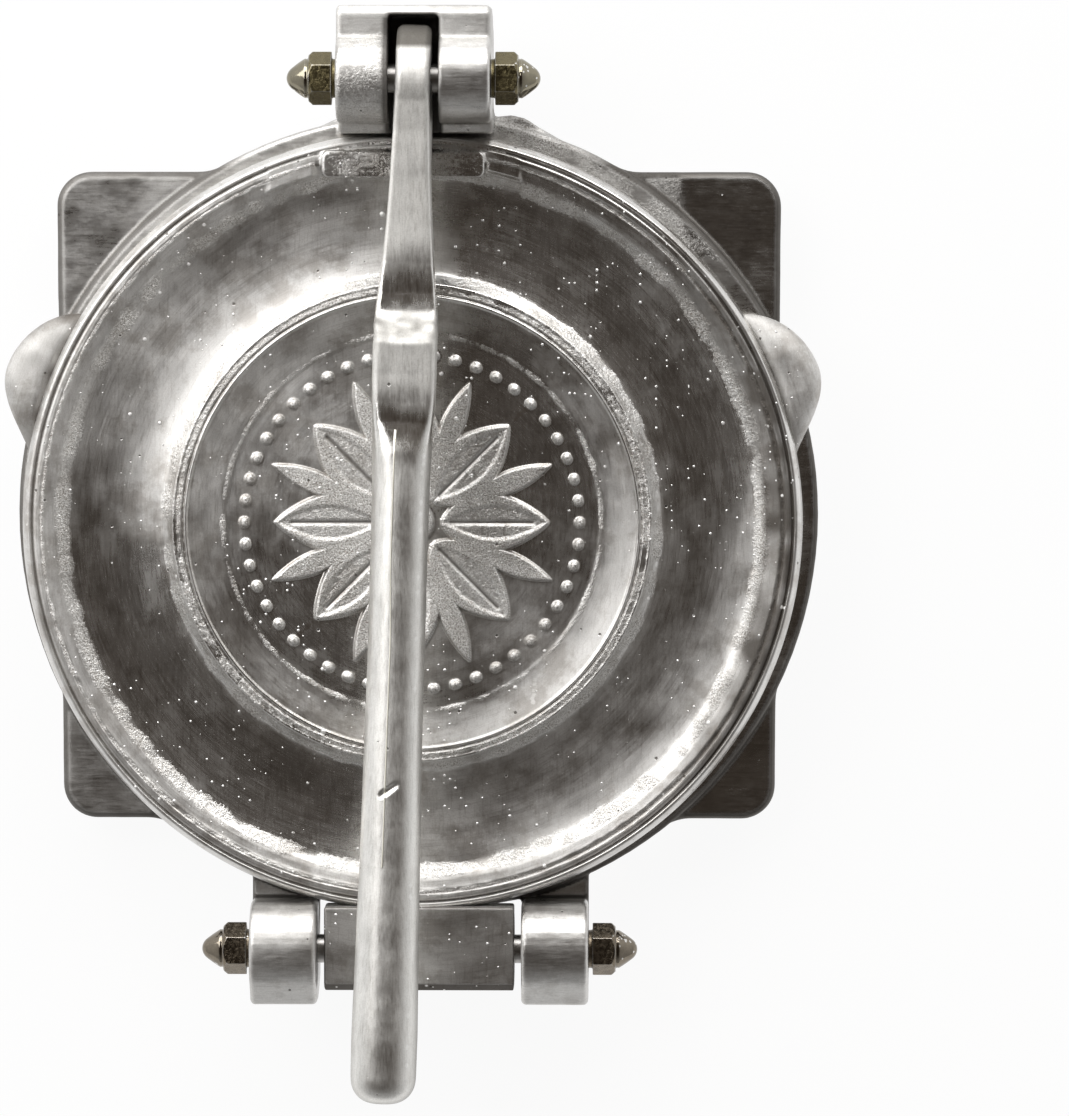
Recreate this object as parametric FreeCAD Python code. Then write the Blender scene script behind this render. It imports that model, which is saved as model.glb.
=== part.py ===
"""Hinged tortilla press of polished cast aluminium, millimetres.

+X is to the right, +Y towards the lever's bracket, +Z up. The origin is the middle of the
press on the surface that it stands on. The handle lies over the closed plate, towards -Y.
"""
import FreeCAD, Part
import math
import os

Vector = FreeCAD.Vector
ALONG_X = Vector(1, 0, 0)
ALONG_Z = Vector(0, 0, 1)

# The plate's size, and the places that follow its rim
plate_radius = 108.0
hinge_out = 10.8           # the plate hinge lies this far outside the rim, towards -Y
pivot_out = 14.4           # the lever's pivot lies this far outside the rim, towards +Y
handle_overhang = 37.2     # how far the handle's tip passes the plate hinge
side_shift_bracket = 1.0   # the bracket's casting stands this far to +X
side_shift_hinge = 1.9     # and the hinge this far
side_shift_base = 1.4      # and the round base this far
overrun = 1.0              # what a cut passes a face by
same = 0.01                # what still counts as lying on one plane

# Base casting
foot_height = 8.0
foot_radius = 12.0
foot_taper = 2.0
foot_inset = 15.0
base_lip = 3.0             # how far the base disc passes the plate
base_shift = 1.8           # middle of the base disc, towards the bracket
base_height = 11.0         # from the feet's tops to the pressing face
base_sheet = 6.5           # thickness of the disc inside its skirt
skirt_wall = 5.0
rib_width = 5.0
rib_count = 3
corner_inset_x = 7.3       # sides of the square slab inside the plate's rim
corner_inset_y = 17.9
corner_plate_shift = 6.6
corner_taper = 1.5         # how much narrower each side is at the hinge end
corner_plate_thickness = 5.5
corner_radius = 9.5
corner_blend = 14.0
cast_round = 2.0           # rounding of the casting's outer edges
gable_foot_half = 54.0
gable_foot_in = 11.0       # the shoulders start this far inside the rim
gable_top_left = 22.0
gable_top_right = 29.5
gable_top_out = 3.6        # and end this far outside it
gable_height = 8.6

# Lever bracket on the base
pivot_height = 27.0        # above the pressing face
bracket_width = 42.2
barrel_radius = 12.2
bracket_back = 20.0        # behind the pivot
lever_slot = 14.0
slot_depth = 16.6          # below the pivot
slot_back = 17.4           # behind the pivot
ledge_height = 4.5         # above the pivot
bracket_toe = 2.8          # step at the foot of the barrels
bracket_toe_height = 11.0  # below the pivot
bracket_slope = 6.0        # how far its back leans in towards the base
bracket_wall = 6.0         # round the pocket underneath
edge_bevel = 0.8           # the ears' edges

# Plate hinge on the base
hinge_height = 4.5         # above the pressing face
ear_width = 18.6
ear_radius = 13.6
ear_end_reach = 15.2       # from the hinge to the ears' end faces
knuckle_width = 52.6
knuckle_gap = 2.0          # between the knuckle and each ear
knuckle_radius = 11.0
knuckle_rise = 8.0         # flat top of the knuckle above the hinge
hinge_space = 0.8          # free space round everything that turns with the plate

# Rods and cap nuts
rod_radius = 4.0
rod_clearance = 0.05
nut_across_flats = 12.7
nut_hex_length = 6.4
nut_neck_length = 1.2
nut_neck_radius = 5.3
nut_dome_length = 6.0
nut_dome_radius = 5.1
nut_tip_radius = 3.2
nut_bore_depth = 9.0
thread_clearance = 0.04
nut_chamfer = 0.9

# Top plate
press_gap = 0.35           # between the closed pressing faces
rim_height = 10.65
rim_side = 6.4
bead_width = 3.0
groove_width = 0.8
groove_depth = 0.7
crest_width = 2.4
rim_inner_run = 7.0
rim_inner_drop = 3.9
valley_thickness = 5.2
ring_radius = 66.3
ring_width = 3.8
ring_slope = 2.4
ring_edge = 1.0
field_thickness = 8.0
recess_run = 9.5
bracket_flat = 1.7         # flat cut on the rim in front of the bracket
pad_width = 45.0
pad_length = 7.6
pad_in = 9.1               # middle of the pad inside the rim
pad_rise = 1.0
pad_shift = -2.4
pad_corner = 2.2
lug_angle = 23.0
lug_sink = 5.0             # middle of each lug's oval inside the rim
lug_out = 13.0             # how far the lugs stand out of the rim
lug_half_width = 22.5
lug_height = 8.4
lug_round = 5.0
lug_blend = 16.0           # hollow curve between a lug and the rim
lug_band_in = 1.2          # the lugs' band runs under the bead, this far inside the rim

# Lever casting, heights measured from its pivot
lever_lean = 1.6           # sideways lean of the whole lever, degrees
eye_radius = 12.6
eye_width = 9.4
heel_out = 3.3             # the eye reaches this far back in a heel behind the pivot
heel_radius = 11.4
nose_lead = 1.5            # the nose bears this far past the middle of the pad
nose_radius = 7.6
nose_width = 10.4
neck_share = 0.42          # half thickness of the neck at the eye, as a share of the eye's radius
nose_gap = 0.3             # between the closed lever's nose and the plate's pad
ridge_reach = 67.5
handle_start = 110.0
handle_rise = 12.2         # how much the handle climbs to its end
handle_width = 15.8
handle_height = 16.8
handle_swell = 2.2         # extra width and height near its end
handle_end_round = 6.6
grip_low = 2.6             # underside of the handle's root above the pivot

# Places worked out from the values above
pivot_reach = plate_radius + pivot_out
hinge_reach = plate_radius + hinge_out
handle_reach = hinge_reach + handle_overhang
bracket_reach = pivot_reach + bracket_back
plate_y = (handle_reach - bracket_reach) / 2
pivot_y = plate_y + pivot_reach
hinge_y = plate_y - hinge_reach
base_radius = plate_radius + base_lip
base_y = plate_y + base_shift
corner_y = plate_y + corner_plate_shift
corner_half_x = plate_radius - corner_inset_x
corner_half_y = plate_radius - corner_inset_y
press_z = foot_height + base_height
plate_z = press_z + press_gap
pivot_z = press_z + pivot_height
hinge_z = press_z + hinge_height
bore_radius = rod_radius + rod_clearance
ear_inner = knuckle_width / 2 + knuckle_gap
ear_outer = ear_inner + ear_width
nose_reach = pivot_out + pad_in + nose_lead


def box(x_low, x_high, y_low, y_high, z_low, z_high):
    """A block between six plain faces."""
    size = Vector(x_high - x_low, y_high - y_low, z_high - z_low)
    return Part.makeBox(size.x, size.y, size.z, Vector(x_low, y_low, z_low))


def cylinder_x(radius, x_low, x_high, y, z):
    """A round bar along X."""
    return Part.makeCylinder(radius, x_high - x_low, Vector(x_low, y, z), ALONG_X)


def cylinder_z(radius, z_low, z_high, x, y):
    """A round disc or post along Z."""
    return Part.makeCylinder(radius, z_high - z_low, Vector(x, y, z_low), ALONG_Z)


def line(start, end):
    return Part.LineSegment(start, end).toShape()


def arc(start, middle, end):
    return Part.Arc(start, middle, end).toShape()


def closed_outline(edges):
    """A face inside a closed run of lines and arcs."""
    return Part.Face(Part.Wire(edges))


def outline_through(points):
    """A face inside straight runs between points."""
    return Part.Face(Part.makePolygon(points + points[:1]))


def fuse_all(pieces):
    """One clean solid from overlapping pieces."""
    whole = pieces[0].multiFuse(pieces[1:])
    return whole.removeSplitter()


def upright_edges(shape):
    """The straight vertical edges of a shape."""
    found = []
    for edge in shape.Edges:
        low = edge.BoundBox
        if low.ZLength > cast_round and low.XLength + low.YLength < same:
            found.append(edge)
    return found


def flat_edges(shape, z):
    """The edges of a shape that lie in one level plane."""
    return [e for e in shape.Edges if abs(e.BoundBox.ZMin - z) < same and abs(e.BoundBox.ZMax - z) < same]


def soften_sides(block, above_z):
    """Bevels the edges of a block's two side faces that lie above a level."""
    edges = []
    for edge in block.Edges:
        room = edge.BoundBox
        if room.XLength < same and room.ZMax > above_z:
            edges.append(edge)
    return block.makeChamfer(edge_bevel, edges)


def base_slab():
    """The low slab: square corner plates blended into the round perimeter."""
    z_high = foot_height + corner_plate_thickness
    low = corner_y - corner_half_y
    high = corner_y + corner_half_y
    corners = [
        Vector(side_shift_base - corner_half_x, high, foot_height),
        Vector(side_shift_base - corner_half_x + corner_taper, low, foot_height),
        Vector(side_shift_base + corner_half_x - corner_taper, low, foot_height),
        Vector(side_shift_base + corner_half_x, high, foot_height),
    ]
    plate = outline_through(corners).extrude(ALONG_Z * corner_plate_thickness)
    plate = plate.makeFillet(corner_radius, upright_edges(plate))
    disc = cylinder_z(base_radius, foot_height, z_high, side_shift_base, base_y)
    slab = fuse_all([plate, disc])
    inner_corners = []
    for edge in upright_edges(slab):
        spot = edge.CenterOfMass
        on_disc = abs(math.hypot(spot.x - side_shift_base, spot.y - base_y) - base_radius) < same
        if on_disc:
            inner_corners.append(edge)
    slab = slab.makeFillet(corner_blend, inner_corners)
    return slab.makeFillet(cast_round, flat_edges(slab, z_high))


def base_disc():
    """The round pressing table, hollow underneath with a skirt and ribs."""
    disc = cylinder_z(base_radius, foot_height, press_z, side_shift_base, base_y)
    return disc.makeChamfer(cast_round / 2, flat_edges(disc, press_z))


def base_hollow():
    """The shallow recess under the disc, less the ribs that cross it."""
    z_high = press_z - base_sheet
    hollow = cylinder_z(base_radius - skirt_wall, foot_height - overrun, z_high, side_shift_base, base_y)
    ribs = []
    for index in range(rib_count):
        rib = box(-rib_width / 2, rib_width / 2, -base_radius, base_radius, foot_height - overrun, z_high + overrun)
        rib.rotate(Vector(0, 0, 0), ALONG_Z, 180 * index / rib_count)
        rib.translate(Vector(side_shift_base, base_y, 0))
        ribs.append(rib)
    hub = cylinder_z(skirt_wall + rib_width * 2, foot_height - overrun, z_high + overrun, side_shift_base, base_y)
    return hollow.cut(ribs + [hub])


def gable():
    """The straight shoulders that run from the round perimeter up to the bracket."""
    foot = plate_y + plate_radius - gable_foot_in
    top = plate_y + plate_radius + gable_top_out
    corners = [
        Vector(side_shift_base - gable_foot_half, foot, foot_height),
        Vector(side_shift_base - gable_foot_half / 2, plate_y, foot_height),
        Vector(side_shift_base + gable_foot_half / 2, plate_y, foot_height),
        Vector(side_shift_base + gable_foot_half, foot, foot_height),
        Vector(side_shift_bracket + gable_top_right, top, foot_height),
        Vector(side_shift_bracket - gable_top_left, top, foot_height),
    ]
    return outline_through(corners).extrude(ALONG_Z * gable_height)


def bracket():
    """Two ears with barrel tops, tied behind the lever by a flat ledge."""
    x_low = side_shift_bracket - bracket_width / 2
    back = plate_y + bracket_reach
    ledge_z = pivot_z + ledge_height
    toe_z = pivot_z - bracket_toe_height
    front = pivot_y - barrel_radius
    toe = front - bracket_toe
    points = [
        Vector(x_low, toe, foot_height),
        Vector(x_low, toe, toe_z - bracket_toe),
        Vector(x_low, front, toe_z),
        Vector(x_low, front, pivot_z),
        Vector(x_low, pivot_y, ledge_z),
        Vector(x_low, back - cast_round, ledge_z),
        Vector(x_low, back, ledge_z - cast_round),
        Vector(x_low, back, pivot_z - slot_depth),
        Vector(x_low, back - bracket_slope, foot_height),
    ]
    body = outline_through(points).extrude(ALONG_X * bracket_width)
    barrel = cylinder_x(barrel_radius, x_low, x_low + bracket_width, pivot_y, pivot_z)
    block = soften_sides(fuse_all([body, barrel]), toe_z)
    slot_low = side_shift_bracket - lever_slot / 2
    slot = box(slot_low, slot_low + lever_slot, toe - overrun, pivot_y + slot_back,
               pivot_z - slot_depth, pivot_z + barrel_radius + overrun)
    pocket = box(x_low + bracket_wall, x_low + bracket_width - bracket_wall,
                 toe + bracket_wall, back - bracket_slope - bracket_wall,
                 foot_height - overrun, pivot_z - slot_depth - bracket_wall)
    return block.cut([slot, pocket])


def hinge_ear(side):
    """One outer ear of the plate hinge; side is -1 or +1."""
    inner = side_shift_hinge + side * ear_inner
    outer = side_shift_hinge + side * ear_outer
    x_low = min(inner, outer)
    bend = math.sqrt(0.5)
    root = base_y - base_radius + skirt_wall * 3

    def at(y, z):
        return Vector(x_low, y, z)

    end = hinge_y - ear_end_reach
    low_y = hinge_y - (hinge_z - foot_height) * 0.6
    edges = [
        line(at(root, foot_height), at(low_y, foot_height)),
        arc(at(low_y, foot_height), at(hinge_y - ear_end_reach * bend * 1.06, hinge_z - ear_end_reach * bend),
            at(end, hinge_z)),
        line(at(end, hinge_z), at(end, hinge_z + ear_radius / 3)),
        line(at(end, hinge_z + ear_radius / 3), at(hinge_y - ear_radius * bend, hinge_z + ear_radius * bend)),
        arc(at(hinge_y - ear_radius * bend, hinge_z + ear_radius * bend), at(hinge_y, hinge_z + ear_radius),
            at(hinge_y + ear_radius, hinge_z)),
        line(at(hinge_y + ear_radius, hinge_z), at(hinge_y + ear_radius, press_z - base_sheet / 2)),
        line(at(hinge_y + ear_radius, press_z - base_sheet / 2), at(root, press_z - base_sheet / 2)),
        line(at(root, press_z - base_sheet / 2), at(root, foot_height)),
    ]
    return soften_sides(closed_outline(edges).extrude(ALONG_X * ear_width), hinge_z)


def foot(x, y):
    """One tapered foot under a corner."""
    return Part.makeCone(foot_radius - foot_taper, foot_radius, foot_height + overrun, Vector(x, y, 0), ALONG_Z)


def base():
    """The whole base casting."""
    pieces = [base_slab(), base_disc(), gable(), bracket(), hinge_ear(-1), hinge_ear(1)]
    casting = fuse_all(pieces)
    knuckle_space = cylinder_x(math.hypot(knuckle_radius, knuckle_rise) + hinge_space,
                               side_shift_hinge - ear_inner, side_shift_hinge + ear_inner, hinge_y, hinge_z)
    bores = [
        cylinder_x(bore_radius, side_shift_hinge - ear_outer - overrun,
                   side_shift_hinge + ear_outer + overrun, hinge_y, hinge_z),
        cylinder_x(bore_radius, side_shift_bracket - bracket_width, side_shift_bracket + bracket_width,
                   pivot_y, pivot_z),
    ]
    casting = casting.cut([base_hollow(), knuckle_space] + bores)
    feet = []
    for x_side in (-1, 1):
        for y_side in (-1, 1):
            x = side_shift_base + x_side * (corner_half_x - foot_inset)
            y = corner_y + y_side * (corner_half_y - foot_inset)
            feet.append(foot(x, y))
    return fuse_all([casting] + feet)


def plate_disc():
    """The round plate turned about its middle: rim bead, valley, medallion ring and field."""
    def at(radius, height):
        return Vector(radius, 0, height)

    bead_in = plate_radius - bead_width
    crest_outer = bead_in - groove_width
    crest_inner = crest_outer - crest_width
    valley_outer = crest_inner - rim_inner_run
    valley_z = rim_height - rim_inner_drop
    ring_foot = ring_radius + ring_slope
    ring_foot_z = (rim_height + valley_thickness) / 2
    ring_inner = ring_radius - ring_width
    field = ring_inner - ring_edge - recess_run
    up_to_valley = [
        at(0, 0),
        at(plate_radius - ring_edge, 0),
        at(plate_radius, ring_edge),
        at(plate_radius, rim_side),
        at(plate_radius - bead_width * 0.12, rim_height * 0.78),
        at(plate_radius - bead_width * 0.46, rim_height * 0.94),
        at(bead_in, rim_height - groove_depth / 2),
        at(bead_in - groove_width / 2, rim_height - groove_depth),
        at(crest_outer, rim_height),
        at(crest_inner, rim_height),
        at(crest_inner - rim_inner_run * 0.35, rim_height - rim_inner_drop * 0.5),
        at(valley_outer, valley_z),
    ]
    past_valley = [
        at(ring_foot, ring_foot_z),
        at(ring_radius + ring_slope * 0.2, rim_height - ring_slope * 0.3),
        at(ring_radius - ring_edge, rim_height),
        at(ring_inner, rim_height),
        at(ring_inner - ring_edge, rim_height - ring_edge),
        at(ring_inner - ring_edge - recess_run * 0.4, (rim_height - ring_edge) * 0.35 + field_thickness * 0.65),
        at(field, field_thickness),
        at(0, field_thickness),
        at(0, 0),
    ]
    edges = [line(a, b) for a, b in zip(up_to_valley, up_to_valley[1:])]
    edges.append(arc(up_to_valley[-1], at((valley_outer + ring_foot) / 2, valley_thickness), past_valley[0]))
    edges += [line(a, b) for a, b in zip(past_valley, past_valley[1:])]
    disc = closed_outline(edges).revolve(Vector(0, 0, 0), ALONG_Z, 360)
    disc.translate(Vector(0, plate_y, plate_z))
    return disc


def lug_band():
    """A low band round the rim that swells into a smooth finger lug on each side."""
    band = cylinder_z(plate_radius - lug_band_in, 0, lug_height, 0, 0)
    reach = lug_sink + lug_out
    ovals = []
    for side in (-1, 1):
        outline = Part.Ellipse(Vector(0, 0, 0), max(lug_half_width, reach), min(lug_half_width, reach)).toShape()
        oval = Part.Face(Part.Wire([outline])).extrude(ALONG_Z * lug_height)
        oval.translate(Vector(0, plate_radius - lug_sink, 0))
        oval.rotate(Vector(0, 0, 0), ALONG_Z, -side * (90 - lug_angle))
        ovals.append(oval)
    band = fuse_all([band] + ovals)
    band = band.makeFillet(lug_blend, upright_edges(band))
    band = band.makeFillet(lug_round, flat_edges(band, lug_height))
    core = cylinder_z(plate_radius - bead_width * 2, -overrun, lug_height + overrun, 0, 0)
    band = band.cut(core)
    band.translate(Vector(0, plate_y, plate_z))
    return band


def strike_pad():
    """The raised rough pad that the lever's nose bears on."""
    y_middle = plate_y + plate_radius - pad_in
    z_high = plate_z + rim_height + pad_rise
    pad = box(-pad_width / 2, pad_width / 2, y_middle - pad_length / 2, y_middle + pad_length / 2,
              plate_z + valley_thickness / 2, z_high)
    pad = pad.makeFillet(pad_corner, upright_edges(pad))
    pad = pad.makeChamfer(pad_rise / 2, flat_edges(pad, z_high))
    pad.translate(Vector(pad_shift, 0, 0))
    return pad


def knuckle():
    """The plate's middle hinge knuckle, flat on top and round underneath."""
    x_low = side_shift_hinge - knuckle_width / 2
    top = hinge_z + knuckle_rise
    root = plate_y - plate_radius + bead_width * 2
    edge = ring_edge * 2
    edges = [
        line(Vector(x_low, root, plate_z), Vector(x_low, root, top)),
        line(Vector(x_low, root, top), Vector(x_low, hinge_y - knuckle_radius + edge, top)),
        line(Vector(x_low, hinge_y - knuckle_radius + edge, top),
             Vector(x_low, hinge_y - knuckle_radius, top - edge)),
        line(Vector(x_low, hinge_y - knuckle_radius, top - edge), Vector(x_low, hinge_y - knuckle_radius, hinge_z)),
        arc(Vector(x_low, hinge_y - knuckle_radius, hinge_z),
            Vector(x_low, hinge_y, hinge_z - knuckle_radius),
            Vector(x_low, hinge_y + math.sqrt(knuckle_radius ** 2 - (hinge_z - plate_z) ** 2), plate_z)),
        line(Vector(x_low, hinge_y + math.sqrt(knuckle_radius ** 2 - (hinge_z - plate_z) ** 2), plate_z),
             Vector(x_low, root, plate_z)),
    ]
    return closed_outline(edges).extrude(ALONG_X * knuckle_width)


def top_plate():
    """The whole top plate casting."""
    plate = fuse_all([plate_disc(), knuckle(), strike_pad(), lug_band()])
    flat_y = plate_y + plate_radius - bracket_flat
    flat = box(-bracket_width, bracket_width, flat_y, plate_y + plate_radius + overrun,
               plate_z - overrun, plate_z + rim_height + overrun)
    bore = cylinder_x(bore_radius, side_shift_hinge - knuckle_width, side_shift_hinge + knuckle_width,
                      hinge_y, hinge_z)
    return plate.cut([flat, bore])


def lever_section(reach, z_low, z_high, width, corner_share):
    """A rounded rectangle across the lever; a corner share of 1 makes it as round as it can be."""
    half = width / 2
    corner = min(half, (z_high - z_low) / 2) * corner_share
    side = half - corner
    low = z_low + corner
    high = z_high - corner
    bend = corner * math.sqrt(0.5)

    def at(x, z):
        return Vector(x, -reach, z)

    edges = [
        line(at(-side, z_low), at(side, z_low)),
        arc(at(side, z_low), at(side + bend, low - bend), at(half, low)),
        line(at(half, low), at(half, high)),
        arc(at(half, high), at(side + bend, high + bend), at(side, z_high)),
        line(at(side, z_high), at(-side, z_high)),
        arc(at(-side, z_high), at(-side - bend, high + bend), at(-half, high)),
        line(at(-half, high), at(-half, low)),
        arc(at(-half, low), at(-side - bend, low - bend), at(-side, z_low)),
    ]
    return Part.Wire(edges)


def arm_sections():
    """The flat arm: long ground flat, hollow, cross ridge, second flat."""
    arm_share = [
        # reach over the ridge's reach; underside and top over the eye's radius;
        # width over the eye's width; roundness of the corners
        (0.05, -0.44, 0.92, 1.00, 0.22),
        (0.21, -0.45, 0.80, 1.06, 0.20),
        (0.40, -0.47, 0.74, 1.17, 0.18),
        (0.59, -0.38, 0.69, 1.32, 0.17),
        (0.74, -0.26, 0.67, 1.49, 0.17),
        (0.86, -0.13, 0.70, 1.67, 0.18),
        (0.93, -0.07, 0.78, 1.78, 0.20),
        (0.97, -0.04, 0.89, 1.82, 0.24),
        (1.00, -0.02, 1.08, 1.84, 0.32),
        (1.03, -0.01, 1.24, 1.84, 0.36),
        (1.06, 0.00, 1.29, 1.84, 0.32),
        (1.10, 0.01, 1.27, 1.84, 0.26),
        (1.19, 0.04, 1.24, 1.84, 0.22),
        (1.30, 0.06, 1.24, 1.82, 0.24),
        (1.38, 0.09, 1.27, 1.78, 0.36),
        (1.44, 0.11, 1.36, 1.75, 0.56),
        (1.50, 0.13, 1.46, 1.73, 0.74),
    ]
    wires = []
    for reach, low, high, width, corner_share in arm_share:
        wires.append(lever_section(reach * ridge_reach, low * eye_radius, high * eye_radius,
                                   width * eye_width, corner_share))
    return wires


def handle_sections():
    """The long oval grip, which climbs and thickens towards its end."""
    length = pivot_reach + handle_reach - handle_start
    roundness_share = 0.92
    grip_share = [
        # reach along the grip, climb over the whole rise, swelling over the full swell
        (0.00, 0.00, 0.00),
        (0.12, 0.15, -0.10),
        (0.30, 0.33, -0.10),
        (0.55, 0.59, 0.20),
        (0.78, 0.82, 0.75),
        (0.90, 0.93, 1.00),
        (0.96, 0.98, 0.95),
        (1.00, 1.00, 0.70),
    ]
    wires = []
    for along, climb, swell in grip_share:
        low = grip_low + climb * handle_rise
        extra = swell * handle_swell
        wires.append(lever_section(handle_start + along * length, low, low + handle_height + extra,
                                   handle_width + extra, roundness_share))
    return wires


def lever_shank():
    """The arm and the handle in one run of sections, with a rounded tip."""
    shank = Part.makeLoft(arm_sections() + handle_sections(), True, True)
    tip_y = -(pivot_reach + handle_reach)
    tip = [e for e in shank.Edges if e.BoundBox.YMax < tip_y + same]
    return shank.makeFillet(handle_end_round, tip)


def nose():
    """The cam nose under the arm, joined to the eye by straight flanks."""
    drop = pivot_z - nose_gap - (plate_z + rim_height + pad_rise)
    centre = Vector(0, -nose_reach, -drop + nose_radius)
    lobe = cylinder_x(nose_radius, -nose_width / 2, nose_width / 2, centre.y, centre.z)
    away = math.atan2(centre.z, centre.y)
    normal = Vector(0, -math.sin(away), math.cos(away))
    near = eye_radius * neck_share
    corners = [
        normal * near,
        centre + normal * nose_radius,
        centre - normal * nose_radius,
        -normal * near,
    ]
    flank = outline_through([Vector(-nose_width / 2, p.y, p.z) for p in corners])
    return fuse_all([lobe, flank.extrude(ALONG_X * nose_width)])


def lever():
    """The whole lever casting: eye, nose, arm, ridge and handle."""
    eye = cylinder_x(eye_radius, -eye_width / 2, eye_width / 2, 0, 0)
    eye = fuse_all([eye, cylinder_x(heel_radius, -eye_width / 2, eye_width / 2, heel_out, 0)])
    rim = [e for e in eye.Edges if e.BoundBox.XLength < same]
    eye = eye.makeChamfer(cast_round * 0.6, rim)
    body = fuse_all([eye, nose(), lever_shank()])
    body.rotate(Vector(0, 0, 0), ALONG_Z, -lever_lean)
    body.translate(Vector(side_shift_bracket, pivot_y, pivot_z))
    bore = cylinder_x(bore_radius, side_shift_bracket - bracket_width, side_shift_bracket + bracket_width,
                      pivot_y, pivot_z)
    return body.cut(bore)


def rod(x_low, x_high, y, z):
    """A plain rod with chamfered ends."""
    bar = cylinder_x(rod_radius, x_low, x_high, y, z)
    ends = [e for e in bar.Edges if e.BoundBox.XLength < same]
    return bar.makeChamfer(nut_chamfer / 2, ends)


def cap_nut(side, face_x, y, z):
    """A hexagon cap nut with a round neck against the ear and a domed end; side is -1 or +1."""
    hex_low = nut_neck_length
    hex_high = hex_low + nut_hex_length
    corner = nut_across_flats / math.sqrt(3)
    points = []
    for index in range(6):
        turn = math.radians(60 * index + 30)
        points.append(Vector(hex_low, corner * math.sin(turn), corner * math.cos(turn)))
    hexagon = outline_through(points).extrude(ALONG_X * nut_hex_length)
    slope = (corner - nut_across_flats / 2) * 1.2
    crown = Part.makeCone(corner, corner - nut_hex_length, nut_hex_length, Vector(hex_high - slope, 0, 0), ALONG_X)
    body = cylinder_x(corner, hex_low, hex_high - slope, 0, 0)
    hexagon = hexagon.common(fuse_all([body, crown]))
    neck = cylinder_x(nut_neck_radius, 0, hex_low + nut_chamfer, 0, 0)

    def at(x, r):
        return Vector(x, 0, r)

    tip = hex_high + nut_dome_length
    shoulder = hex_high + nut_chamfer
    ball = tip - nut_tip_radius
    away = math.hypot(ball - shoulder, nut_dome_radius)
    touch = math.pi - math.atan2(nut_dome_radius, ball - shoulder) - math.acos(nut_tip_radius / away)
    meet = at(ball + nut_tip_radius * math.cos(touch), nut_tip_radius * math.sin(touch))
    dome_edges = [
        line(at(hex_high - nut_chamfer, 0), at(tip, 0)),
        arc(at(tip, 0), at(ball + nut_tip_radius * math.cos(touch / 2), nut_tip_radius * math.sin(touch / 2)), meet),
        line(meet, at(shoulder, nut_dome_radius)),
        line(at(shoulder, nut_dome_radius), at(hex_high - nut_chamfer, nut_dome_radius)),
        line(at(hex_high - nut_chamfer, nut_dome_radius), at(hex_high - nut_chamfer, 0)),
    ]
    dome = closed_outline(dome_edges).revolve(Vector(0, 0, 0), ALONG_X, 360)
    nut = fuse_all([hexagon, neck, dome])
    nut = nut.cut(cylinder_x(rod_radius + thread_clearance, -overrun, nut_bore_depth, 0, 0))
    if side < 0:
        nut = nut.mirror(Vector(0, 0, 0), ALONG_X)
    nut.translate(Vector(face_x, y, z))
    return nut


def write(name, shape):
    """Checks one piece and writes it as its own file."""
    solids = shape.Solids
    print(name, "solids", len(solids), "valid", shape.isValid(), "volume", round(shape.Volume))
    whole = solids[0] if len(solids) == 1 else Part.makeCompound(solids)
    whole.exportStep("parts/" + name + ".step")


def main():
    os.makedirs("parts", exist_ok=True)
    bracket_left = side_shift_bracket - bracket_width / 2
    bracket_right = side_shift_bracket + bracket_width / 2
    hinge_left = side_shift_hinge - ear_outer
    hinge_right = side_shift_hinge + ear_outer
    rod_end = nut_bore_depth - nut_chamfer
    write("base_casting", base())
    write("top_plate", top_plate())
    write("lever", lever())
    write("lever_pivot_rod", rod(bracket_left - rod_end, bracket_right + rod_end, pivot_y, pivot_z))
    write("hinge_rod", rod(hinge_left - rod_end, hinge_right + rod_end, hinge_y, hinge_z))
    write("lever_nut_left", cap_nut(-1, bracket_left, pivot_y, pivot_z))
    write("lever_nut_right", cap_nut(1, bracket_right, pivot_y, pivot_z))
    write("hinge_nut_left", cap_nut(-1, hinge_left, hinge_y, hinge_z))
    write("hinge_nut_right", cap_nut(1, hinge_right, hinge_y, hinge_z))


main()
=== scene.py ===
"""A cast aluminium tortilla press, seen from straight above on a pale floor.

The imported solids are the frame. Castings are softened and pitted copies of their solids; the upper
plate is turned again here with a finer profile and gets a generic rosette in its sunk field.
Lengths are in millimetres until they meet Blender, which works in metres.
"""

import math

import bmesh
import bpy
import numpy as np
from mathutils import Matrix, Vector, kdtree


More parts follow.
